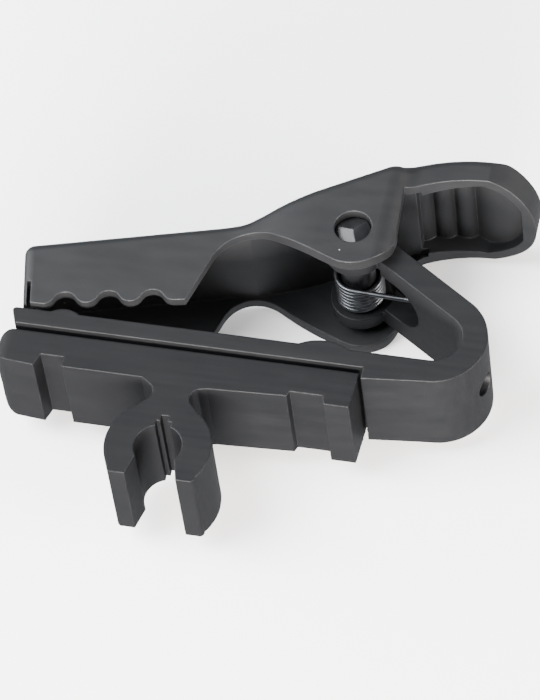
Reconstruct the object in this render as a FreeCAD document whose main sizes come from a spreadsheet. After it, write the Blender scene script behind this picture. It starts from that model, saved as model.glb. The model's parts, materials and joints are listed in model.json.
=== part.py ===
"""Tie clip for a lavalier microphone: a sprung crocodile clip with an open C under its lower jaw.

The clip lies on its side. X runs from the biting tip to the thumb paddle, Y from the microphone
holder up to the thumb paddle, and Z along the hinge pin. Every outline is drawn in the XY plane and
measured from the hinge axis; the widths are symmetric about the middle of the pin.
"""
import FreeCAD
import Part
import os
from math import acos, asin, atan2, cos, degrees, radians, sin, sqrt, tan

Vector = FreeCAD.Vector
Z_AXIS = Vector(0, 0, 1)
TALL = "80"       # height of the prisms that only trim
OVERLAP = 0.05    # how far shapes that are joined reach into each other

os.makedirs("parts", exist_ok=True)
doc = FreeCAD.newDocument("LavalierTieClip")
sheet = doc.addObject("Spreadsheet::Sheet", "Dimensions")

DIMENSIONS = [
    # where the hinge axis stands
    ("pivot_x", 6.77), ("pivot_y", 7.85), ("mid_height", 6.8),
    # upper jaw: widths, walls and rounding
    ("ear_width", 13.6), ("nose_width", 10.2), ("paddle_width", 11.4),
    ("cheek_wall", 0.85), ("ear_wall", 1.1), ("roof_wall", 1.1), ("end_wall", 0.6),
    ("flare_start", -11.2), ("flare_end", -3.0), ("waist_start", 2.0), ("waist_end", 4.4),
    ("waist_wall", 0.95), ("core_roof_end", 1.6), ("core_rise", 0.7),
    ("edge_round", 0.9), ("nose_round", 0.9),
    # upper jaw: side view
    ("ear_radius", 3.6), ("pin_hole_radius", 1.57), ("ear_back", 4.0), ("ear_back_top", 3.3),
    ("ear_back_lean", 14.5),
    ("roof_height", 4.99), ("hump_slope", 30.9), ("nose_slope", 15.0), ("nose_bend", -9.23),
    ("bend_round", 5.0), ("nose_reach", 27.35), ("bite_reach", 26.15), ("bite_level", -10.35),
    ("tooth_slope", 10.8), ("tooth_pitch", 3.66), ("tooth_depth", 1.1), ("first_tooth", -24.4),
    ("cheek_end", -12.7), ("arch_x", -8.0), ("arch_y", -4.5), ("arch_radius", 3.5),
    ("slit_width", 0.33), ("slit_depth", 2.2), ("slit_lean", 10.8),
    # thumb paddle
    ("paddle_start", 2.0), ("paddle_radius", 16.3), ("paddle_turn", 43.8), ("paddle_depth", 2.4),
    ("paddle_floor", 1.35), ("paddle_tip", 3.9), ("rim_wall", 0.8), ("rim_gather", 0.7),
    ("rib_depth", 0.4), ("rib_angle", 6.6), ("thumb_angle", 2.5), ("pocket_tip", 3.7),
    # lower arm
    ("arm_width", 9.3), ("jaw_level", -10.7), ("turn_x", 8.35), ("turn_radius", 2.35),
    ("arm_thickness", 2.1), ("return_slope", 33.2), ("tip_reach", 26.4), ("tip_overhang", 0.55),
    ("tip_round", 0.3), ("jaw_thickness", 1.5), ("step_x", 3.2), ("step_level", -13.3),
    ("hub_radius", 2.6), ("hub_gap", 6.6), ("coil_room", 2.9), ("window_end", 7.1),
    ("window_width", 5.2), ("window_depth", 7.0),
    ("tooth_bump_x", -22.4), ("tooth_bump_half", 1.2), ("tooth_bump_rise", 0.4),
    ("cloth_bump_x", -0.4), ("cloth_bump_half", 2.15), ("cloth_bump_rise", 0.6),
    ("cable_hole_radius", 1.1), ("cable_hole_y", -9.3), ("cable_hole_start", 1.0), ("cable_hole_length", 6.0),
    # microphone holder
    ("holder_width", 8.5), ("holder_top", -12.6), ("holder_base", -14.7), ("block_base", -15.65),
    ("block_length", 2.4), ("recess_length", 2.4), ("step_gap", 0.3), ("end_block_length", 2.3),
    ("end_recess_length", 5.5), ("end_slant", 0.2), ("end_block_drop", 0.33), ("end_recess_drop", 0.48),
    ("dome_rise", 1.15), ("dome_round", 1.1), ("dome_crown", -13.4),
    ("ring_x", -12.0), ("ring_y", -22.0), ("ring_radius", 4.45), ("bore_radius", 2.0),
    ("mouth_half", 1.65), ("prong_level", -25.0), ("prong_round", 0.5), ("mouth_chamfer", 0.5),
    ("neck_half", 1.6), ("neck_flare", 1.2), ("neck_root", 0.9), ("neck_waist", 1.6),
    ("notch_half", 0.65), ("notch_depth", 0.4), ("groove_half", 0.32), ("groove_depth", 0.95),
    ("stud_radius", 1.2), ("stud_left", -21.0), ("stud_right", -2.0), ("stud_height", 1.8),
    ("stud_sink", 0.6),
    # spring and pin
    ("wire_radius", 0.22), ("coil_radius", 1.9), ("coil_length", 3.0), ("coil_low", -3.0),
    ("jaw_leg_angle", 140.0), ("arm_leg_angle", 268.0), ("whole_turns", 6.0),
    ("jaw_leg_length", 5.1), ("arm_leg_length", 6.9),
    ("pin_radius", 1.5), ("pin_length", 13.0), ("facet_turn", 20.0), ("facet_tilt", 22.0),
    ("facet_drop", 0.1),
]
for row, (alias, value) in enumerate(DIMENSIONS, start=1):
    sheet.set(f"A{row}", alias)
    sheet.set(f"B{row}", str(value))
    sheet.setAlias(f"B{row}", alias)
doc.recompute()


def dim(alias):
    """One driving dimension, read from the spreadsheet."""
    return float(getattr(sheet, alias))


def bind(item, **cells):
    """Ties properties to spreadsheet expressions; a double underscore stands for a dot."""
    for name, formula in cells.items():
        item.setExpression(name.replace("__", "."), formula)


# ---------------------------------------------------------------- plane geometry

def at(x, y):
    return Vector(x, y, 0)


def polar(radius, angle, centre=None):
    """The point at an angle in degrees on a circle."""
    base = centre if centre is not None else at(0, 0)
    return base + at(radius * cos(radians(angle)), radius * sin(radians(angle)))


def line(start, end):
    return Part.LineSegment(start, end)


def arc(start, middle, end):
    return Part.Arc(start, middle, end)


def circle_arc(centre, radius, first, last):
    """An arc between two angles in degrees, run from the first to the last."""
    middle = (first + last) / 2
    return arc(polar(radius, first, centre), polar(radius, middle, centre), polar(radius, last, centre))


def chain(*items):
    """Curves in order, with a straight line wherever two neighbours do not already meet."""
    curves = []
    last = None
    for item in items:
        start = item if isinstance(item, Vector) else item.StartPoint
        end = item if isinstance(item, Vector) else item.EndPoint
        if last is not None and last.distanceToPoint(start) > 1e-6:
            curves.append(line(last, start))
        if not isinstance(item, Vector):
            curves.append(item)
        last = end
    return curves


def closed(*items):
    """An outline that ends where it starts."""
    first = items[0] if isinstance(items[0], Vector) else items[0].StartPoint
    return chain(*items, first)


def bump(middle_x, half, rise, level):
    """A low round ridge standing on a level line, run from left to right."""
    return arc(at(middle_x - half, level), at(middle_x, level + rise), at(middle_x + half, level))


def roof_point(x, drop=0.0):
    """A point on the roof line over the ears, or on a line parallel to it and lower."""
    slope = radians(dim("hump_slope"))
    return at(x, (dim("roof_height") - drop + x * sin(slope)) / cos(slope))


def nose_point(x, drop=0.0):
    """A point on the roof line of the nose, or on a line parallel to it and lower."""
    bend = roof_point(dim("nose_bend"))
    slope = radians(dim("nose_slope"))
    return at(x, bend.y + (x - bend.x) * tan(slope) - drop / cos(slope))


def roof_bend(drop=0.0):
    """Where the two roof lines meet; a drop moves the corner along the line that halves its angle."""
    middle = radians((dim("hump_slope") + dim("nose_slope")) / 2)
    half_turn = radians((dim("hump_slope") - dim("nose_slope")) / 2)
    return roof_point(dim("nose_bend")) + at(sin(middle), -cos(middle)) * (drop / cos(half_turn))


def round_corner(before, corner, after, radius):
    """An arc tangent to both sides of a corner."""
    back = (before - corner).normalize()
    ahead = (after - corner).normalize()
    half = back.getAngle(ahead) / 2
    centre = corner + (back + ahead).normalize() * (radius / sin(half))
    reach = radius / tan(half)
    middle = centre + (corner - centre).normalize() * radius
    return arc(corner + back * reach, middle, corner + ahead * reach)


def paddle_centre():
    """The centre of the paddle's curve, below the paddle and square to the roof where it starts."""
    slope = radians(dim("hump_slope"))
    start = roof_point(dim("paddle_start"))
    return start + at(sin(slope), -cos(slope)) * dim("paddle_radius")


PADDLE_FIRST = 90 + dim("hump_slope")
PADDLE_LAST = PADDLE_FIRST - dim("paddle_turn")
PADDLE_BEYOND = PADDLE_LAST - 8   # past the rounded tip, which the plan outline trims
PADDLE_UNDER = dim("paddle_radius") - dim("paddle_depth")


def on_paddle_under(x):
    """The angle at which the underside of the paddle's rim stands at x."""
    return degrees(acos((x - paddle_centre().x) / PADDLE_UNDER))


# ---------------------------------------------------------------- document helpers

def origin_plane(body, role):
    return next(item for item in body.Origin.OriginFeatures if item.Role == role)


def sketch_on(body, name, role, curves):
    """A sketch of the given curves on one of the body's own origin planes."""
    sketch = body.newObject("Sketcher::SketchObject", name)
    sketch.AttachmentSupport = (origin_plane(body, role), [""])
    sketch.MapMode = "FlatFace"
    sketch.addGeometry(curves, False)
    return sketch


def pad(name, curves, width, role="XY_Plane"):
    """A body: one outline padded evenly to both sides of its plane."""
    body = doc.addObject("PartDesign::Body", name)
    feature = body.newObject("PartDesign::Pad", name + "Pad")
    feature.Profile = sketch_on(body, name + "Sketch", role, curves)
    feature.Midplane = True
    bind(feature, Length=width)
    return body


def plan_pad(name, curves, height):
    """A body: an outline of X and Z, drawn on the XZ plane and padded along Y."""
    return pad(name, curves, height, "XZ_Plane")


def combine(kind, name, *members):
    """A boolean of the members: Common and Fuse take any number, Cut takes the first less the rest."""
    if kind == "Cut":
        result = doc.addObject("Part::Cut", name)
        result.Base = members[0]
        result.Tool = members[1] if len(members) == 2 else combine("Fuse", name + "Tools", *members[1:])
        return result
    result = doc.addObject("Part::Multi" + kind, name)
    result.Shapes = list(members)
    return result


def pivot_cylinder(name, radius, length):
    """A cylinder on the hinge axis, centred on the middle of the pin."""
    body = doc.addObject("Part::Cylinder", name)
    bind(body, Radius=radius, Height=length, Placement__Base__z=f"-({length}) / 2")
    return body


def finish(item, label):
    """Names a finished sub-part and puts it in its place in the clip."""
    item.Label = label
    bind(item, Placement__Base__x="Dimensions.pivot_x", Placement__Base__y="Dimensions.pivot_y")
    bind(item, Placement__Base__z="Dimensions.mid_height")
    return item


# ---------------------------------------------------------------- upper jaw

def teeth():
    """The wavy biting edge of a cheek: round teeth and round hollows that meet in tangent arcs."""
    slope = radians(dim("tooth_slope"))
    along = at(cos(slope), sin(slope))
    up = at(-sin(slope), cos(slope))
    quarter = dim("tooth_pitch") / 4
    half_depth = dim("tooth_depth") / 2
    radius = (quarter ** 2 + half_depth ** 2) / (2 * half_depth)
    spread = degrees(asin(quarter / radius))
    first = at(dim("first_tooth"), dim("bite_level"))
    base = 270 + dim("tooth_slope")
    waves = []
    for index in range(4):
        tooth = first + along * (index * dim("tooth_pitch")) + up * radius
        waves.append(circle_arc(tooth, radius, base - (spread if index else 0),
                                base + (spread if index < 3 else 0)))
        if index < 3:
            hollow = first + along * ((index + 0.5) * dim("tooth_pitch"))
            hollow = hollow + up * (2 * half_depth - radius)
            waves.append(circle_arc(hollow, radius, base - 180 + spread, base - 180 - spread))
    return waves


def cheek_arch():
    """From the last tooth over the arch and down to the ear, along lines tangent to both circles."""
    foot = at(dim("cheek_end"),
              dim("bite_level") + (dim("cheek_end") - dim("first_tooth")) * tan(radians(dim("tooth_slope"))))
    centre = at(dim("arch_x"), dim("arch_y"))
    radius = dim("arch_radius")
    reach = foot.distanceToPoint(centre)
    left = degrees(atan2(foot.y - centre.y, foot.x - centre.x)) % 360 - degrees(acos(radius / reach))
    crossing = degrees(asin((radius + dim("ear_radius")) / centre.Length))
    right = degrees(atan2(-centre.y, -centre.x)) - crossing + 90
    ear = circle_arc(at(0, 0), dim("ear_radius"), right - 180, dim("ear_back_lean"))
    return [foot, circle_arc(centre, radius, left, right), ear]


def upper_jaw_outline():
    under = on_paddle_under(dim("ear_back_top"))
    centre = paddle_centre()
    bite = at(-dim("bite_reach"), dim("bite_level"))
    brow = nose_point(-dim("nose_reach"))
    bend = roof_bend()
    start = roof_point(dim("paddle_start"))
    return closed(bite, *teeth(), *cheek_arch(),
                  circle_arc(centre, PADDLE_UNDER, under, PADDLE_BEYOND),
                  circle_arc(centre, dim("paddle_radius"), PADDLE_BEYOND, PADDLE_FIRST),
                  round_corner(start, bend, brow, dim("bend_round")),
                  round_corner(bend, brow, bite, dim("nose_round")))


def s_curve(first, last):
    """Two equal arcs that swing from one level to another, level at both ends."""
    run = (last.x - first.x) / 2
    rise = (last.y - first.y) / 2
    bend = (run ** 2 + rise ** 2) / (2 * abs(rise))
    turn = degrees(asin(run / bend))
    if rise < 0:
        return [circle_arc(first - at(0, bend), bend, 90, 90 - turn),
                circle_arc(last + at(0, bend), bend, 270 - turn, 270)]
    return [circle_arc(first + at(0, bend), bend, 270, 270 + turn),
            circle_arc(last - at(0, bend), bend, 90 + turn, 90)]


def mirrored(curves):
    """The same curves on the other side of the X axis, run the other way."""
    copies = []
    for curve in reversed(curves):
        ends = [at(point.x, -point.y) for point in (curve.EndPoint, curve.StartPoint)]
        middle = curve.value((curve.FirstParameter + curve.LastParameter) / 2)
        copies.append(arc(ends[0], at(middle.x, -middle.y), ends[1]))
    return copies


def jaw_plan(name, nose_half, ear_half, paddle_half):
    """A prism with the jaw's half widths along X: nose, flare, ears, waist and rounded paddle."""
    tip = polar(dim("paddle_radius"), PADDLE_LAST, paddle_centre()).x
    shoulder = tip - dim("paddle_tip")
    front = -dim("nose_reach") - 1
    side = [*s_curve(at(dim("flare_start"), -nose_half), at(dim("flare_end"), -ear_half)),
            *s_curve(at(dim("waist_start"), -ear_half), at(dim("waist_end"), -paddle_half))]
    outline = closed(at(front, -nose_half), *side,
                     arc(at(shoulder, -paddle_half), at(tip, 0), at(shoulder, paddle_half)),
                     *mirrored(side), at(front, nose_half))
    return plan_pad(name, outline, TALL)


def jaw_core_outline():
    """The hollow of the nose and of the space between the ears, open below and into the paddle."""
    wall = dim("end_wall")
    roof = dim("roof_wall")
    below = 2 * dim("bite_level")
    front = -dim("bite_reach") + wall
    back = dim("ear_back") + wall
    roof_end = roof_point(dim("core_roof_end"), roof)
    return closed(at(front, below), at(front, dim("bite_level")),
                  nose_point(-dim("nose_reach") + wall, roof), roof_bend(roof), roof_end,
                  at(back, roof_end.y + dim("core_rise")), at(back, below))


def jaw_slit_outline():
    """The slit that parts each cheek from the end wall, beside the first tooth."""
    foot = at(-dim("bite_reach") + dim("end_wall") - OVERLAP, dim("bite_level") - 1)
    along = polar(dim("slit_depth") + 1, 90 + dim("slit_lean"))
    across = at(dim("slit_width"), 0)
    return closed(foot, foot + across, foot + across + along, foot + along)


def paddle_pocket_outline():
    """The hollow under the paddle, roofed by three crowned ribs and a plain thumb floor."""
    centre = paddle_centre()
    floor = PADDLE_UNDER + dim("paddle_floor")
    groove = floor + dim("rib_depth")
    below = PADDLE_UNDER - 1
    first = on_paddle_under(dim("ear_back") + 2 * OVERLAP)
    edges = [first - index * dim("rib_angle") for index in range(4)]
    last = PADDLE_LAST + degrees(dim("rim_wall") / floor)
    ribs = [arc(polar(groove, left, centre), polar(floor, (left + right) / 2, centre),
                polar(groove, right, centre)) for left, right in zip(edges, edges[1:])]
    thumb = arc(polar(groove, edges[-1], centre), polar(floor, edges[-1] - dim("thumb_angle"), centre),
                polar(floor, last, centre))
    return closed(polar(below, first, centre), *ribs, thumb, polar(below, last, centre))


def paddle_pocket_plan():
    """The hollow narrows towards the ears and follows the round end."""
    half = dim("paddle_width") / 2 - dim("rim_wall")
    narrow = half - dim("rim_gather")
    tip = polar(dim("paddle_radius"), PADDLE_LAST, paddle_centre()).x - dim("rim_wall")
    start = dim("ear_back")
    shoulder = tip - dim("pocket_tip")
    return closed(at(start, -narrow), arc(at(shoulder, -half), at(tip, 0), at(shoulder, half)),
                  at(start, narrow))


def is_ear_roof_edge(edge):
    """Tells the two edges where the roof meets the ears; a fillet runs on from them along both sides."""
    middle = edge.valueAt((edge.FirstParameter + edge.LastParameter) / 2)
    beside = abs(abs(middle.z) - dim("ear_width") / 2) < 0.01
    return beside and abs(middle.y - roof_point(middle.x).y) < 0.01


def make_upper_jaw():
    nose, ear, paddle = dim("nose_width") / 2, dim("ear_width") / 2, dim("paddle_width") / 2
    side = pad("JawSide", upper_jaw_outline(), "Dimensions.ear_width")
    plan = jaw_plan("JawPlan", nose, ear, paddle)
    blank = combine("Common", "JawBlank", side, plan)
    doc.recompute()
    rounded = doc.addObject("Part::Fillet", "JawRounded")
    rounded.Base = blank
    radius = dim("edge_round")
    rounded.Edges = [(index, radius, radius) for index, edge in enumerate(blank.Shape.Edges, start=1)
                     if is_ear_roof_edge(edge)]
    core_side = pad("CoreSide", jaw_core_outline(), "Dimensions.ear_width")
    core_plan = jaw_plan("CorePlan", nose - dim("cheek_wall"), ear - dim("ear_wall"),
                         paddle - dim("waist_wall"))
    core = combine("Common", "JawCore", core_side, core_plan)
    pocket = combine("Common", "PaddlePocket",
                     pad("PocketSide", paddle_pocket_outline(), "Dimensions.ear_width"),
                     plan_pad("PocketPlan", paddle_pocket_plan(), TALL))
    holes = pivot_cylinder("EarHoles", "Dimensions.pin_hole_radius", "Dimensions.ear_width + 2")
    slits = pad("JawSlits", jaw_slit_outline(), "Dimensions.ear_width")
    jaw = combine("Cut", "UpperJaw", rounded, core, pocket, holes, slits)
    return finish(jaw, "upper_jaw")


# ---------------------------------------------------------------- lower arm

def strip_point(along, across):
    """A point given along and across the return strip, both measured from the hinge axis."""
    slope = radians(dim("return_slope"))
    return at(along * cos(slope) + across * sin(slope), across * cos(slope) - along * sin(slope))


def lower_arm_outline():
    """The tip, the level jaw with its two ridges, the U-turn, the return strip and the round hub."""
    turn_y = dim("jaw_level") + dim("turn_radius")
    centre = at(dim("turn_x"), turn_y)
    inner = dim("turn_radius")
    outer = inner + dim("arm_thickness")
    top = 90 - dim("return_slope")
    normal = at(cos(radians(top)), sin(radians(top)))
    inner_across = centre.dot(normal) + inner
    outer_across = centre.dot(normal) + outer
    hub = dim("hub_radius")
    hub_in = strip_point(sqrt(hub ** 2 - inner_across ** 2), inner_across)
    hub_out = strip_point(sqrt(hub ** 2 - outer_across ** 2), outer_across)
    first = degrees(atan2(hub_in.y, hub_in.x))
    last = degrees(atan2(hub_out.y, hub_out.x)) - 360
    base = dim("jaw_level") - dim("jaw_thickness")
    tip = -dim("tip_reach")
    brow = at(tip - dim("tip_overhang"), dim("jaw_level"))
    return closed(
        at(tip, base), round_corner(at(tip, base), brow, at(0, dim("jaw_level")), dim("tip_round")),
        bump(dim("tooth_bump_x"), dim("tooth_bump_half"), dim("tooth_bump_rise"), dim("jaw_level")),
        bump(dim("cloth_bump_x"), dim("cloth_bump_half"), dim("cloth_bump_rise"), dim("jaw_level")),
        circle_arc(centre, inner, -90, top),
        circle_arc(at(0, 0), hub, first, last),
        circle_arc(centre, outer, top, -90),
        at(dim("step_x"), dim("step_level")), at(dim("step_x"), base))


def spring_window():
    """The opening in the return strip for the spring's leg, rounded at the end away from the hub."""
    half = dim("window_width") / 2
    end = dim("window_end")
    curves = closed(at(0, -half), at(end - half, -half),
                    arc(at(end - half, -half), at(end, 0), at(end - half, half)), at(0, half))
    window = plan_pad("SpringWindow", curves, "Dimensions.window_depth")
    window.Placement = FreeCAD.Placement(at(0, 0), FreeCAD.Rotation(Z_AXIS, -dim("return_slope")))
    return window


def make_lower_arm():
    blank = pad("ArmSide", lower_arm_outline(), "Dimensions.arm_width")
    room = pivot_cylinder("CoilRoom", "Dimensions.coil_room", "Dimensions.hub_gap")
    bore = pivot_cylinder("HubBore", "Dimensions.pin_radius", "Dimensions.arm_width + 2")
    cable = doc.addObject("Part::Cylinder", "CableHole")
    bind(cable, Radius="Dimensions.cable_hole_radius", Height="Dimensions.cable_hole_length")
    cable.Placement = FreeCAD.Placement(at(0, 0), FreeCAD.Rotation(Vector(0, 1, 0), 90))
    bind(cable, Placement__Base__x="Dimensions.turn_x + Dimensions.cable_hole_start",
         Placement__Base__y="Dimensions.cable_hole_y")
    arm = combine("Cut", "LowerArm", blank, spring_window(), room, bore, cable,
                  *stud_cylinders("StudHole"))
    return finish(arm, "lower_arm")


# ---------------------------------------------------------------- microphone holder

def stud_cylinders(name):
    """Two upright studs that fasten the holder plate into the lower jaw."""
    studs = []
    for place in ("stud_left", "stud_right"):
        stud = doc.addObject("Part::Cylinder", f"{name}_{place}")
        bind(stud, Radius="Dimensions.stud_radius", Height="Dimensions.stud_height")
        stud.Placement = FreeCAD.Placement(at(0, 0), FreeCAD.Rotation(Vector(1, 0, 0), -90))
        bind(stud, Placement__Base__x=f"Dimensions.{place}",
             Placement__Base__y="Dimensions.holder_top - Dimensions.stud_sink")
        studs.append(stud)
    return studs


def ring_side(side):
    """One half of the open ring, run from the neck down to the mouth and up to the back of the bore.

    The side is 1 for the half towards the hinge and -1 for the half towards the tip.
    """
    ring = at(dim("ring_x"), dim("ring_y"))
    outer = dim("ring_radius")
    bore = dim("bore_radius")
    round_by = dim("prong_round")
    prong = dim("prong_level")
    neck = dim("neck_half")
    base = dim("block_base")
    neck_angle = degrees(asin((neck + dim("neck_root")) / outer))
    prong_angle = degrees(asin((ring.y - prong - round_by) / outer))
    mouth_angle = degrees(asin(dim("mouth_half") / bore))
    notch_angle = degrees(asin(dim("notch_half") / bore))

    def out(radius, angle):
        return polar(radius, angle if side > 0 else 180 - angle, ring)

    def beside(x, y):
        return at(ring.x + side * x, y)

    root = out(outer, 90 - neck_angle)
    foot = out(outer, -prong_angle)
    edge = side * (foot.x - ring.x)
    fillet = arc(beside(neck + dim("neck_root") / 2, base - dim("neck_root") / 2 - OVERLAP),
                 beside(neck, base - dim("neck_waist")), root + at(-side, 1) * (0.7 * dim("neck_root")))
    flank = arc(root, out(outer, (90 - neck_angle - prong_angle) / 2), foot)
    heel = arc(foot, beside(edge - 0.15 * round_by, prong + 0.3 * round_by), beside(edge - round_by, prong))
    back = ring.y + bore
    wall = arc(out(bore, -90 + mouth_angle), out(bore, 0), out(bore, 90 - notch_angle))
    return [fillet, flank, heel, beside(dim("mouth_half") + dim("mouth_chamfer"), prong), wall,
            beside(dim("notch_half"), back + dim("notch_depth")),
            beside(dim("groove_half"), back + dim("notch_depth")),
            beside(dim("groove_half"), back + dim("groove_depth"))]


def reversed_run(items):
    """The same points and arcs, run the other way."""
    turned = []
    for item in reversed(items):
        if isinstance(item, Vector):
            turned.append(item)
        else:
            middle = item.value((item.FirstParameter + item.LastParameter) / 2)
            turned.append(arc(item.EndPoint, middle, item.StartPoint))
    return turned


def holder_outline():
    """The plate with its end blocks, and the neck and open ring below it."""
    left = -dim("tip_reach")
    right = dim("step_x") - dim("step_gap")
    top = dim("holder_top")
    base = dim("holder_base")
    block = dim("block_base")
    step = left + dim("block_length")
    face = step + dim("recess_length")
    ring_x = dim("ring_x")
    shoulder = dim("neck_half") + dim("neck_flare")
    slant = dim("end_slant")
    low_block = block - dim("end_block_drop")
    low_base = base - dim("end_recess_drop")
    end_step = right - dim("end_block_length")
    end_face = right - dim("end_recess_length")
    return closed(
        at(left, block), at(left, top), at(right, top), at(right - slant, low_block),
        at(end_step, low_block), at(end_step - slant, low_base), at(end_face + slant, low_base),
        at(end_face, block), at(ring_x + shoulder, low_block),
        *ring_side(1), *reversed_run(ring_side(-1)), at(ring_x - shoulder, block),
        at(face, block), at(face, base), at(step + 2 * slant, base), at(step, block - slant))


def make_tip_dome():
    """The crowned end of the holder, which caps the tip and rounds over towards both sides."""
    left = -dim("tip_reach")
    top = dim("holder_top")
    base = dim("block_base")
    crown = left - dim("dome_rise")
    seat = left + OVERLAP
    side = pad("DomeSide", closed(arc(at(left, base), at(crown, dim("dome_crown")), at(left, top)),
                                  at(seat, top), at(seat, base)), "Dimensions.holder_width")
    half = dim("holder_width") / 2
    corner = dim("dome_round")
    slant = 0.3 * dim("dome_rise")
    plan = plan_pad("DomePlan", closed(
        arc(at(left, half), at(crown + slant, half - 0.3 * corner), at(crown, half - corner)),
        arc(at(crown, corner - half), at(crown + slant, 0.3 * corner - half), at(left, -half)),
        at(seat, -half), at(seat, half)), TALL)
    return combine("Common", "TipDome", side, plan)


def make_mic_holder():
    plate = pad("HolderSide", holder_outline(), "Dimensions.holder_width")
    holder = combine("Fuse", "MicHolder", plate, make_tip_dome(), *stud_cylinders("Stud"))
    return finish(holder, "mic_holder")


# ---------------------------------------------------------------- hinge pin and spring

def make_pivot_pin():
    """The hinge pin; each end is cut to three sloping faces that meet in a blunt point."""
    shaft = pivot_cylinder("PinShaft", "Dimensions.pin_radius - 0.01", "Dimensions.pin_length")
    size = 4 * dim("pin_radius")
    cuts = []
    for side in (1, -1):
        for index in range(3):
            turn = dim("facet_turn") + 120 * index
            cut = doc.addObject("Part::Box", f"PinFacet{index}{'High' if side > 0 else 'Low'}")
            cut.Length = size
            cut.Width = size
            cut.Height = size / 2
            tilt = FreeCAD.Rotation(Z_AXIS, turn) * FreeCAD.Rotation(Vector(1, 0, 0), -dim("facet_tilt"))
            if side < 0:
                tilt = FreeCAD.Rotation(Vector(1, 0, 0), 180) * tilt
            peak = Vector(0, 0, side * (dim("pin_length") / 2 - dim("facet_drop") / 2))
            cut.Placement = FreeCAD.Placement(peak - tilt.multVec(at(size / 2, size / 2)), tilt)
            cuts.append(cut)
    return finish(combine("Cut", "PivotPin", shaft, *cuts), "pivot_pin")


def make_torsion_spring():
    """A close coil; its low end runs up to the roof and its high end through the arm's window."""
    length = dim("coil_length")
    first = dim("jaw_leg_angle")
    turns = dim("whole_turns") + (dim("arm_leg_angle") - first) / 360
    helix = Part.makeHelix(length / turns, length, dim("coil_radius"))
    helix.rotate(Vector(0, 0, 0), Z_AXIS, first)
    helix.translate(Vector(0, 0, dim("coil_low")))
    coils = Part.__sortEdges__(helix.Edges)
    low = coils[0].valueAt(coils[0].FirstParameter)
    low_way = coils[0].tangentAt(coils[0].FirstParameter)
    high = coils[-1].valueAt(coils[-1].LastParameter)
    high_way = coils[-1].tangentAt(coils[-1].LastParameter)
    jaw_end = low - low_way * dim("jaw_leg_length")
    arm_end = high + high_way * dim("arm_leg_length")
    path = Part.Wire([Part.makeLine(jaw_end, low), *coils, Part.makeLine(high, arm_end)])
    section = Part.Wire(Part.makeCircle(dim("wire_radius"), jaw_end, low_way))
    spring = doc.addObject("Part::Feature", "TorsionSpring")
    spring.Shape = path.makePipeShell([section], True, False)
    return finish(spring, "torsion_spring")


# ---------------------------------------------------------------- build, check and write

SUBPARTS = [make_upper_jaw(), make_lower_arm(), make_mic_holder(), make_pivot_pin(),
            make_torsion_spring()]
doc.recompute()
for item in doc.Objects:
    if "Invalid" in item.State or "Error" in item.State:
        raise RuntimeError(f"{item.Name} did not compute: {item.State}")
for item in SUBPARTS:
    shape = item.Shape
    if shape.isNull() or not shape.isValid() or shape.Volume <= 0:
        raise RuntimeError(f"{item.Label} has no valid solid")
    box = shape.BoundBox
    print(item.Label, len(shape.Solids), round(shape.Volume, 1), [round(value, 2) for value in
          (box.XMin, box.XMax, box.YMin, box.YMax, box.ZMin, box.ZMax)])
    shape.exportStep(f"parts/{item.Label}.step")
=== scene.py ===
"""Looks for the lavalier tie clip: satin black mouldings, a dark spring wire, a pale studio."""
import json
from math import cos, pi, radians, sin

import bpy
from mathutils import Matrix, Vector


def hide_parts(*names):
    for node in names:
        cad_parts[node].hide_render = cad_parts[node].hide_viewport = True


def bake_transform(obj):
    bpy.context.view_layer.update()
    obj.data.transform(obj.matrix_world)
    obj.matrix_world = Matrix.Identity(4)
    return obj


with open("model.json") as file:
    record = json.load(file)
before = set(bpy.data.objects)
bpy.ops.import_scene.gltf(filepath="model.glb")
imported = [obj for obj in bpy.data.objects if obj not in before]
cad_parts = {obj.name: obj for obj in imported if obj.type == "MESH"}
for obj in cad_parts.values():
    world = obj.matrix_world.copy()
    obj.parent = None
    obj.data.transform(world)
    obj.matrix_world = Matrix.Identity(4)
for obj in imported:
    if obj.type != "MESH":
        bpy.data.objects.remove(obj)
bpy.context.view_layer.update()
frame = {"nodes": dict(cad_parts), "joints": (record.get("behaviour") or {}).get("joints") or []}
MM = 0.001
UPWARD = Vector((0, 0, 1))
HINGE = Vector(frame["joints"][0]["pos_m"])

# ---------------------------------------------------------------- camera

CAMERA_AZIMUTH = 19.4
CAMERA_ELEVATION = 56.0
CAMERA_ROLL = -8.9
CAMERA_DISTANCE = 0.4167
CAMERA_TARGET = Vector((0.99, -0.90, 6.8)) * MM
SENSOR_SIZE = 36
FRAME_HEIGHT_AT_TARGET = 700 / 12 * MM


def make_camera():
    """A long lens at the photograph's angle, rolled a little about its own axis."""
    azimuth = radians(CAMERA_AZIMUTH)
    elevation = radians(CAMERA_ELEVATION)
    forward = Vector((-sin(azimuth) * cos(elevation), cos(azimuth) * cos(elevation), -sin(elevation)))
    right = Vector((cos(azimuth), sin(azimuth), 0))
    up = right.cross(forward)
    basis = Matrix((right, up, -forward)).transposed() @ Matrix.Rotation(radians(CAMERA_ROLL), 3, "Z")
    data = bpy.data.cameras.new("camera")
    data.sensor_width = SENSOR_SIZE
    data.lens = data.sensor_width * CAMERA_DISTANCE / FRAME_HEIGHT_AT_TARGET
    data.clip_start = 0.01
    data.clip_end = 20
    camera = bpy.data.objects.new("camera", data)
    camera.matrix_world = Matrix.Translation(CAMERA_TARGET - forward * CAMERA_DISTANCE) @ basis.to_4x4()
    bpy.context.collection.objects.link(camera)
    bpy.context.scene.camera = camera


make_camera()

# ---------------------------------------------------------------- materials

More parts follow.
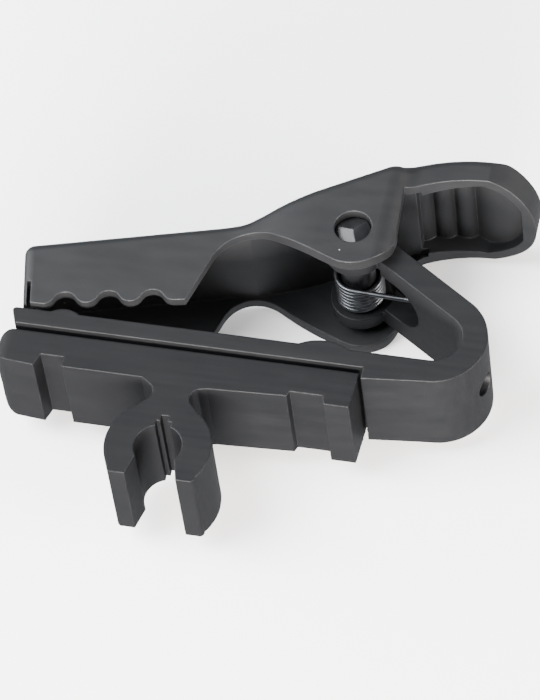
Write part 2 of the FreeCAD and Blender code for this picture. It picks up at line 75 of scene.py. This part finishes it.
# Noise scales are waves per millimetre.
CLOUD_SCALE = 0.22
FLOW_SCALE = 0.9
PIT_SCALE = 11.0
EDGE_WEAR_AND_HIGHLIGHT_SCALE = 1.6
EDGE_RADIUS = 0.16 * MM
NEAR_FLAT = 0.995    # cosine between the softened and the true normal where no edge is near
AT_AN_EDGE = 0.80
EDGE_WEAR_AND_HIGHLIGHT_PALER = 4.0     # how much paler than the light tone an edge is, partly as rubbed wear and partly as painted highlight
GRAIN_HEIGHT = 0.02 * MM
SPECK_SCALE = 0.45
NO_SPECK_SHARE = 0.74   # the share of the cells that hold no speck of dust
SPECK_RADIUS = 0.034
SPECK_CORE = 0.022
SPECK_GREY = (0.2, 0.2, 0.2)


class Nodes:
    """A material's node tree, with short calls that add nodes and join them."""

    def __init__(self, name):
        self.material = bpy.data.materials.new(name)
        self.material.use_nodes = True
        self.tree = self.material.node_tree
        self.shader = self.tree.nodes["Principled BSDF"]

    def add(self, kind, links=None, **settings):
        node = self.tree.nodes.new("ShaderNode" + kind)
        for key, value in settings.items():
            if hasattr(node, key):
                setattr(node, key, value)
            else:
                node.inputs[key.replace("_", " ")].default_value = value
        for key, socket in (links or {}).items():
            self.join(socket, node.inputs[key])
        return node

    def join(self, source, target):
        self.tree.links.new(source, target)

    def millimetres(self, stretch=(1, 1, 1)):
        """The place on the object in millimetres, with an optional stretch along its axes."""
        place = self.add("TexCoord").outputs["Object"]
        scaled = self.add("Mapping", {"Vector": place})
        scaled.inputs["Scale"].default_value = [factor / MM for factor in stretch]
        return scaled.outputs["Vector"]

    def noise(self, place, scale, detail=3.0, rough=0.55):
        node = self.add("TexNoise", {"Vector": place}, Scale=scale, Detail=detail, Roughness=rough)
        return node.outputs["Fac"]

    def between(self, value, low, high, to_low=0.0, to_high=1.0):
        node = self.add("MapRange", {"Value": value})
        for key, number in (("From Min", low), ("From Max", high), ("To Min", to_low), ("To Max", to_high)):
            node.inputs[key].default_value = number
        return node.outputs["Result"]

    def maths(self, operation, first, second):
        node = self.add("Math", operation=operation)
        for socket, value in zip(node.inputs, (first, second)):
            if isinstance(value, (int, float)):
                socket.default_value = value
            else:
                self.join(value, socket)
        return node.outputs["Value"]

    def tint(self, factor, first, second):
        """A colour between two others; each is a grey level, a colour or a socket."""
        node = self.add("Mix", {0: factor}, data_type="RGBA")
        for socket, value in zip((node.inputs[6], node.inputs[7]), (first, second)):
            if hasattr(value, "links"):
                self.join(value, socket)
            else:
                socket.default_value = (*value, 1)
        return node.outputs[2]

    def edges(self, radius):
        """(softened normal, how much an edge is near) from the shape itself."""
        soft = self.add("Bevel", Radius=radius, samples=6).outputs["Normal"]
        flat = self.add("NewGeometry").outputs["Normal"]
        dot = self.add("VectorMath", {0: soft, 1: flat}, operation="DOT_PRODUCT").outputs["Value"]
        return soft, self.between(dot, NEAR_FLAT, AT_AN_EDGE)


def moulded_plastic(name, dark, light, rough, gloss, streak=(1, 1, 1), grain=0.16):
    """Satin black plastic: cloudy tone, drawn-out flow marks, fine grain, pale edges that are partly rubbed
    wear and partly painted highlight, and dust.
    """
    n = Nodes(name)
    place = n.millimetres()
    cloud = n.noise(place, CLOUD_SCALE, 4.0)
    flow = n.noise(n.millimetres(streak), FLOW_SCALE, 3.0, 0.5)
    pits = n.noise(place, PIT_SCALE, 2.0, 0.6)
    soft, edge = n.edges(EDGE_RADIUS)
    # Edges are painted paler in patches, partly as rubbed wear and partly as a painted highlight where
    # edges catch light.
    wear_and_edge_highlight = n.maths("MULTIPLY", edge, n.between(n.noise(place, EDGE_WEAR_AND_HIGHLIGHT_SCALE, 3.0), 0.35, 0.65, 0.25, 1.0))
    tone = n.tint(n.between(n.maths("ADD", cloud, flow), 0.7, 1.3), dark, light)
    tone = n.tint(n.maths("MULTIPLY", wear_and_edge_highlight, 0.6), tone, [EDGE_WEAR_AND_HIGHLIGHT_PALER * level for level in light])
    cells = n.add("TexVoronoi", {"Vector": place}, Scale=SPECK_SCALE)
    pick = n.add("SeparateColor", {"Color": cells.outputs["Color"]}).outputs[0]
    chosen = n.between(pick, NO_SPECK_SHARE, NO_SPECK_SHARE + 0.01)
    near = n.between(cells.outputs["Distance"], SPECK_RADIUS, SPECK_CORE)
    tone = n.tint(n.maths("MULTIPLY", chosen, near), tone, SPECK_GREY)
    n.join(tone, n.shader.inputs["Base Color"])
    uneven = n.maths("ADD", flow, n.maths("MULTIPLY", pits, 0.5))
    shine = n.between(uneven, 0.5, 1.0, rough - 0.03, rough + 0.03)
    n.join(n.maths("SUBTRACT", shine, n.maths("MULTIPLY", wear_and_edge_highlight, 0.08)), n.shader.inputs["Roughness"])
    n.shader.inputs["Specular IOR Level"].default_value = gloss
    wave = n.add("Bump", {"Height": flow, "Normal": soft}, Strength=0.06, Distance=GRAIN_HEIGHT)
    waved = wave.outputs["Normal"]
    bump = n.add("Bump", {"Height": pits, "Normal": waved}, Strength=grain, Distance=GRAIN_HEIGHT)
    n.join(bump.outputs["Normal"], n.shader.inputs["Normal"])
    return n.material


def spring_steel(name):
    """Drawn spring wire: dark oiled steel, streaked, brighter where it rubs."""
    n = Nodes(name)
    place = n.millimetres()
    patch = n.noise(place, 1.3, 4.0)
    lines = n.noise(n.millimetres((2, 2, 9)), 2.2, 3.0)
    tone = n.tint(n.between(patch, 0.35, 0.65), (0.045, 0.047, 0.05), (0.10, 0.102, 0.108))
    n.join(tone, n.shader.inputs["Base Color"])
    n.shader.inputs["Metallic"].default_value = 1.0
    n.join(n.between(lines, 0.3, 0.7, 0.34, 0.5), n.shader.inputs["Roughness"])
    bump = n.add("Bump", {"Height": lines}, Strength=0.2, Distance=0.01 * MM)
    n.join(bump.outputs["Normal"], n.shader.inputs["Normal"])
    return n.material


def dress(node, material):
    """Gives a CAD node one material."""
    slots = frame["nodes"][node].data.materials
    slots.clear()
    slots.append(material)


ALONG_ARM = (0.12, 2.2, 1.0)
ALONG_JAW = (0.3, 1.2, 1.0)
# One satin black plastic is given paler tones on the upper jaw and darker tones on the lower arm and the
# mic holder. This is painted light on the jaw and painted shade on the arm and holder, standing in for how
# the light falls on them.
PLASTICS = {
    "upper_jaw": dict(name="jaw_plastic_painted_lighter", dark=(0.005, 0.0053, 0.006), light=(0.0074, 0.0077, 0.0084),
                      rough=0.50, gloss=0.28, streak=ALONG_JAW),
    "lower_arm": dict(name="arm_plastic_painted_darker", dark=(0.003, 0.0032, 0.0038), light=(0.005, 0.0052, 0.0058),
                      rough=0.50, gloss=0.20, streak=ALONG_ARM),
    "mic_holder": dict(name="holder_plastic_painted_darker", dark=(0.0026, 0.0028, 0.0034), light=(0.0045, 0.0047, 0.0053),
                       rough=0.50, gloss=0.18, streak=ALONG_ARM, grain=0.1),
    "pivot_pin": dict(name="pin_plastic", dark=(0.006, 0.006, 0.007), light=(0.012, 0.012, 0.013),
                      rough=0.36, gloss=0.3, grain=0.3),
}
for node, look in PLASTICS.items():
    dress(node, moulded_plastic(**look))

# ---------------------------------------------------------------- torsion spring

WIRE_RADIUS = 0.22 * MM
COIL_RADIUS = 1.9 * MM
COIL_LOW = -3.0 * MM
COIL_LENGTH = 3.0 * MM
JAW_LEG_ANGLE = 140.0
ARM_LEG_ANGLE = 268.0
WHOLE_TURNS = 6
JAW_LEG_LENGTH = 5.1 * MM
ARM_LEG_LENGTH = 6.9 * MM
STEPS_PER_TURN = 48
LEG_STEPS = (0.06, 0.33, 0.66, 1.0)
WIRE_SIDES = 14


def coil_point(angle, height):
    """A point of the coil's middle line, at an angle in degrees and a height from the hinge's middle."""
    return HINGE + Vector((COIL_RADIUS * cos(radians(angle)), COIL_RADIUS * sin(radians(angle)), height))


def coil_way(angle):
    """The way the wire runs at that angle."""
    return Vector((-sin(radians(angle)), cos(radians(angle)), 0))


def spring_path():
    """The wire's middle line: the jaw's leg, the close turns from low to high, the arm's leg."""
    swing = WHOLE_TURNS * 360 + ARM_LEG_ANGLE - JAW_LEG_ANGLE
    steps = WHOLE_TURNS * STEPS_PER_TURN
    low = coil_point(JAW_LEG_ANGLE, COIL_LOW)
    path = [low - coil_way(JAW_LEG_ANGLE) * JAW_LEG_LENGTH * part for part in reversed(LEG_STEPS)]
    for step in range(steps + 1):
        share = step / steps
        path.append(coil_point(JAW_LEG_ANGLE + swing * share, COIL_LOW + COIL_LENGTH * share))
    high = coil_point(ARM_LEG_ANGLE, COIL_LOW + COIL_LENGTH)
    path += [high + coil_way(ARM_LEG_ANGLE) * ARM_LEG_LENGTH * part for part in LEG_STEPS]
    return path


def wire_ring(path, index):
    """The corners of the wire's round section at one point of its path."""
    way = (path[min(index + 1, len(path) - 1)] - path[max(index - 1, 0)]).normalized()
    across = way.cross(UPWARD).normalized()
    up = across.cross(way)
    turns = [2 * pi * k / WIRE_SIDES for k in range(WIRE_SIDES)]
    return [path[index] + (across * cos(turn) + up * sin(turn)) * WIRE_RADIUS for turn in turns]


def cut_end(ring, point, way):
    """A narrower ring just past an end, which chamfers the cut wire."""
    return [point + (corner - point) * 0.7 + way * WIRE_RADIUS * 0.3 for corner in ring]


def make_spring():
    """A round wire swept along the path, with slightly chamfered cut ends."""
    path = spring_path()
    rings = [wire_ring(path, index) for index in range(len(path))]
    first_way = (path[1] - path[0]).normalized()
    last_way = (path[-1] - path[-2]).normalized()
    rings = [cut_end(rings[0], path[0], -first_way), *rings, cut_end(rings[-1], path[-1], last_way)]
    vertices = [corner for ring in rings for corner in ring]
    faces = []
    for start in range(0, len(vertices) - WIRE_SIDES, WIRE_SIDES):
        for k in range(WIRE_SIDES):
            after = (k + 1) % WIRE_SIDES
            faces.append((start + k, start + after, start + WIRE_SIDES + after, start + WIRE_SIDES + k))
    faces.append(tuple(range(WIRE_SIDES)))
    faces.append(tuple(reversed(range(len(vertices) - WIRE_SIDES, len(vertices)))))
    mesh = bpy.data.meshes.new("spring_wire")
    mesh.from_pydata(vertices, [], faces)
    mesh.validate()
    for face in mesh.polygons:
        face.use_smooth = len(face.vertices) == 4
    mesh.materials.append(spring_steel("spring_wire_steel"))
    spring = bpy.data.objects.new("spring_wire", mesh)
    bpy.context.collection.objects.link(spring)
    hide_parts("torsion_spring")
    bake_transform(spring)


make_spring()

# ---------------------------------------------------------------- studio

LAMP_AIM = Vector((0, 0, 0.006))


def make_floor():
    """A wide sheet of pale paper under the clip."""
    mesh = bpy.data.meshes.new("floor")
    half = 1.5
    corners = [(-half, -half, 0), (half, -half, 0), (half, half, 0), (-half, half, 0)]
    mesh.from_pydata(corners, [], [(0, 1, 2, 3)])
    floor = bpy.data.objects.new("floor", mesh)
    bpy.context.collection.objects.link(floor)
    n = Nodes("floor_paper")
    shade = n.noise(n.millimetres(), 0.02, 2.0)
    n.join(n.tint(shade, (0.94, 0.94, 0.94), (0.96, 0.96, 0.96)), n.shader.inputs["Base Color"])
    n.shader.inputs["Roughness"].default_value = 0.8
    mesh.materials.append(n.material)
    floor.visible_glossy = False


def area_light(name, place, size, power, tint=(1, 1, 1)):
    """A soft rectangular lamp aimed at the clip."""
    data = bpy.data.lights.new(name, "AREA")
    data.shape = "RECTANGLE"
    data.size, data.size_y = size
    data.energy = power
    data.color = tint
    lamp = bpy.data.objects.new(name, data)
    lamp.location = place
    lamp.rotation_euler = (LAMP_AIM - Vector(place)).to_track_quat("-Z", "Y").to_euler()
    bpy.context.collection.objects.link(lamp)


def make_world():
    """A cool sky all round, brighter low in front, where the front faces look."""
    world = bpy.data.worlds.new("studio")
    world.use_nodes = True
    nodes = world.node_tree.nodes
    links = world.node_tree.links
    background = nodes["Background"]
    background.inputs["Color"].default_value = (0.93, 0.95, 1.0, 1)
    toward_front = nodes.new("ShaderNodeVectorMath")
    toward_front.operation = "DOT_PRODUCT"
    toward_front.inputs[1].default_value = (0.25, -0.85, -0.46)
    links.new(nodes.new("ShaderNodeTexCoord").outputs["Generated"], toward_front.inputs[0])
    fade = nodes.new("ShaderNodeMapRange")
    for key, number in (("From Min", 0.45), ("From Max", 0.95), ("To Min", 0.8), ("To Max", 1.3)):
        fade.inputs[key].default_value = number
    links.new(toward_front.outputs["Value"], fade.inputs["Value"])
    links.new(fade.outputs["Result"], background.inputs["Strength"])
    bpy.context.scene.world = world


make_floor()
area_light("overhead", (-0.32, -0.10, 0.50), (0.4, 0.4), 15.0, tint=(0.95, 0.98, 1.0))
area_light("front_low", (0.02, -0.66, 0.16), (0.5, 0.2), 40.0, tint=(1.0, 0.95, 0.90))
area_light("right_low", (0.64, -0.12, 0.22), (0.4, 0.2), 14.0, tint=(1.0, 0.96, 0.92))
area_light("left_rim", (-0.55, 0.10, 0.16), (0.3, 0.2), 3.0)
make_world()
